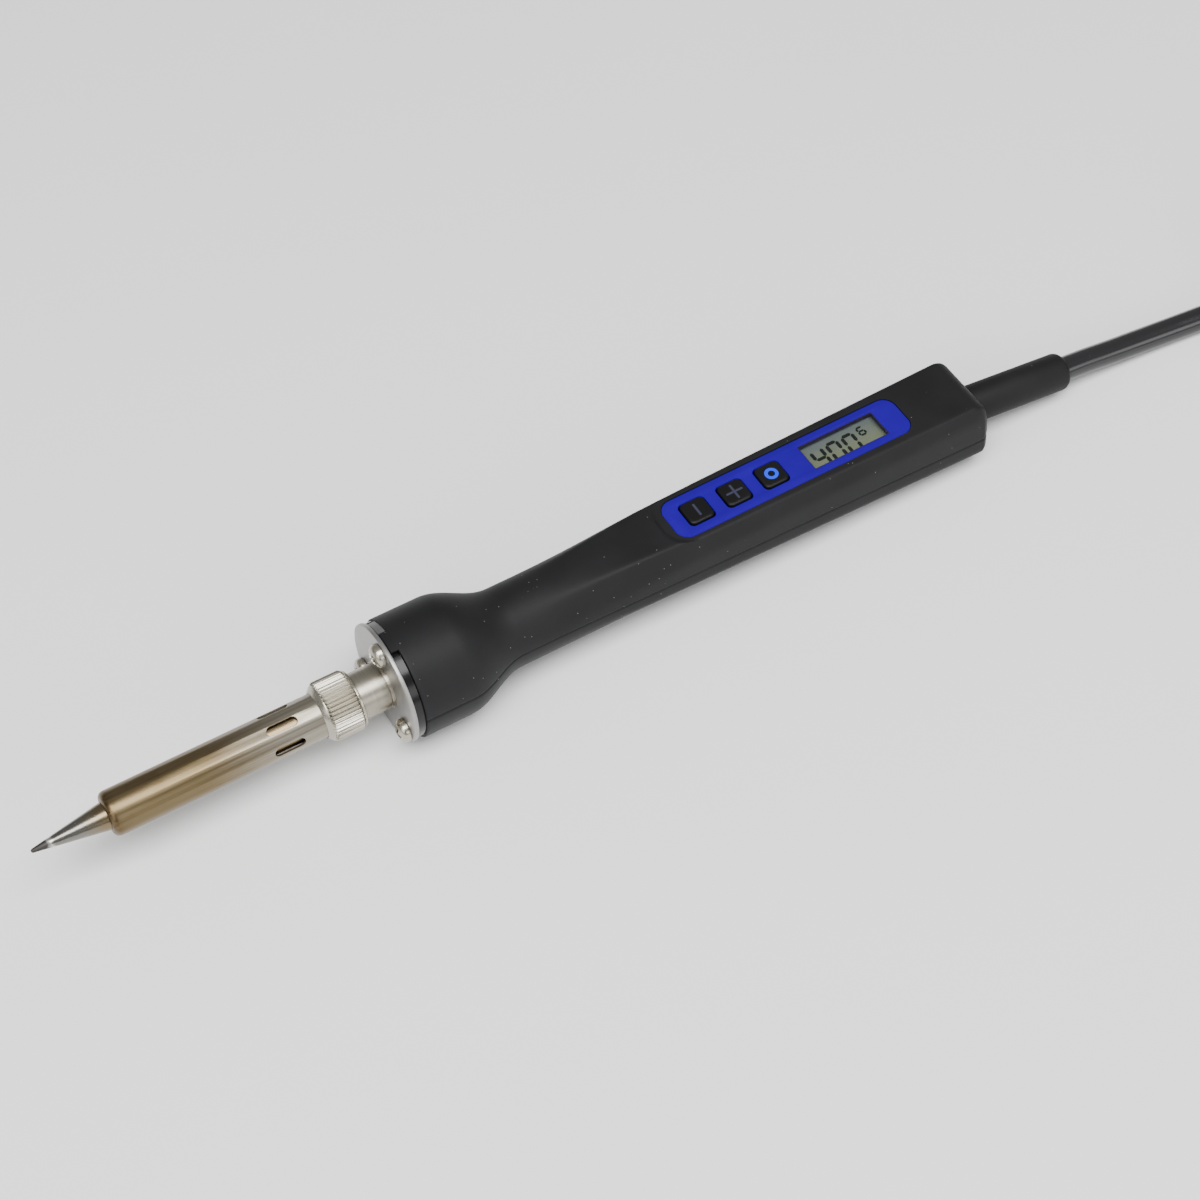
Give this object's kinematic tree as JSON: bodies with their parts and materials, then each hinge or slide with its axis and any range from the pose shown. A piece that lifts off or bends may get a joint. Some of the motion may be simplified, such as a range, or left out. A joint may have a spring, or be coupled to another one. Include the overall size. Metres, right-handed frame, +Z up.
{
  "type": "soldering iron",
  "caption": "Temperature-controlled soldering iron: conical tip in a vented steel sleeve, collar nut, black handle with a blue button and display panel, mains lead in a tied hank.",
  "frame": {"origin": "centre of the underside of the iron, without its lead, where it lies on the bench", "axes": "+X from the tip to the cord, +Z up out of the bench, +Y to the left of somebody who looks from the tip to the cord. The barrel axis tilts down to the cord by 2.09 degrees."},
  "size_m": [0.5477, 0.054, 0.0449],
  "materials": {
    "tip_plate": "satin",
    "sleeve_steel": "brushed, heat tinted",
    "bright_steel": "satin",
    "screw_steel": "satin",
    "ceramic": "matte",
    "grip_plastic": "soft-touch matte",
    "gloss_plastic": "gloss",
    "panel_blue": "satin",
    "button_plastic": "satin",
    "clear_window": "clear",
    "display": "satin",
    "board_green": "satin",
    "component_black": "matte",
    "component_tan": "satin",
    "wire_white": "matte",
    "wire_earth": "satin",
    "cord_rubber": "semi-gloss",
    "boot_rubber": "matte",
    "tie_fabric": "matte",
    "plug_plastic": "satin",
    "pin_brass": "satin",
    "carrier_red": "satin"
  },
  "bodies": {
    "handle": {"barrel_tube": "bright_steel", "heater_rod": "ceramic", "heater_base": "ceramic", "flange_plate": "bright_steel", "flange_screw_1": "screw_steel", "flange_screw_2": "screw_steel", "flange_screw_3": "screw_steel", "front_insert": "gloss_plastic", "upper_shell": "grip_plastic", "lower_shell": "grip_plastic", "case_screw_1": "screw_steel", "case_screw_2": "screw_steel", "case_screw_3": "screw_steel", "panel": "panel_blue", "display_lens": "clear_window", "display_glass": "display", "display_holder": "component_black", "minus_switch": "component_black", "plus_switch": "component_black", "set_switch": "component_black", "circuit_board": "board_green", "board_screw_1": "screw_steel", "board_screw_2": "screw_steel", "controller_chip": "component_black", "triac": "component_black", "capacitor": "component_tan", "terminal_block": "board_green", "heater_lead_1": "wire_white", "heater_lead_2": "wire_white", "earth_lead": "wire_earth", "lead_end": "cord_rubber", "cord_clamp": "component_black", "clamp_screw_1": "screw_steel", "clamp_screw_2": "screw_steel", "strain_relief": "boot_rubber", "cord": "cord_rubber", "cord_tail": "cord_rubber", "cord_hank": "cord_rubber", "cord_tie": "tie_fabric", "plug_body": "plug_plastic", "plug_earth_pin": "pin_brass", "plug_line_pin": "pin_brass", "plug_neutral_pin": "pin_brass"},
    "tip": {"tip": "tip_plate"},
    "sleeve": {"sleeve": "sleeve_steel"},
    "collar_nut": {"collar_nut": "bright_steel"},
    "minus_button": {"minus_button": "button_plastic"},
    "plus_button": {"plus_button": "button_plastic"},
    "set_button": {"set_button": "button_plastic"},
    "fuse_carrier": {"fuse_carrier": "carrier_red", "plug_fuse": "ceramic"}
  },
  "joints": [
    {"name": "front_pull", "type": "slide", "parent": "handle", "child": "tip", "axis": [-0.9993, 0, 0.0365], "range_m": [0, 0.05]},
    {"name": "sleeve_release", "type": "slide", "parent": "tip", "child": "sleeve", "axis": [-0.9993, 0, 0.0365], "range_m": [0, 0.00375]},
    {"name": "nut_turn", "type": "hinge", "parent": "sleeve", "child": "collar_nut", "pos_m": [-0.04667, 0, 0.01497], "axis": [-0.9993, 0, 0.0365], "range_deg": [0, 1800]},
    {"name": "minus_press", "type": "slide", "parent": "handle", "child": "minus_button", "axis": [-0.0194, 0, -0.9998], "range_m": [0, 0.0005], "stiffness_N_per_m": 900, "springref_m": -0.0005},
    {"name": "plus_press", "type": "slide", "parent": "handle", "child": "plus_button", "axis": [-0.0194, 0, -0.9998], "range_m": [0, 0.0005], "stiffness_N_per_m": 900, "springref_m": -0.0005},
    {"name": "set_press", "type": "slide", "parent": "handle", "child": "set_button", "axis": [-0.0194, 0, -0.9998], "range_m": [0, 0.0005], "stiffness_N_per_m": 900, "springref_m": -0.0005},
    {"name": "fuse_carrier_pull", "type": "slide", "parent": "handle", "child": "fuse_carrier", "axis": [0, 0, 1], "range_m": [0, 0.01]}
  ],
  "couplings": [
    {"joint": "nut_turn", "follows": "sleeve_release", "rad_per_m": 8377.5}
  ]
}
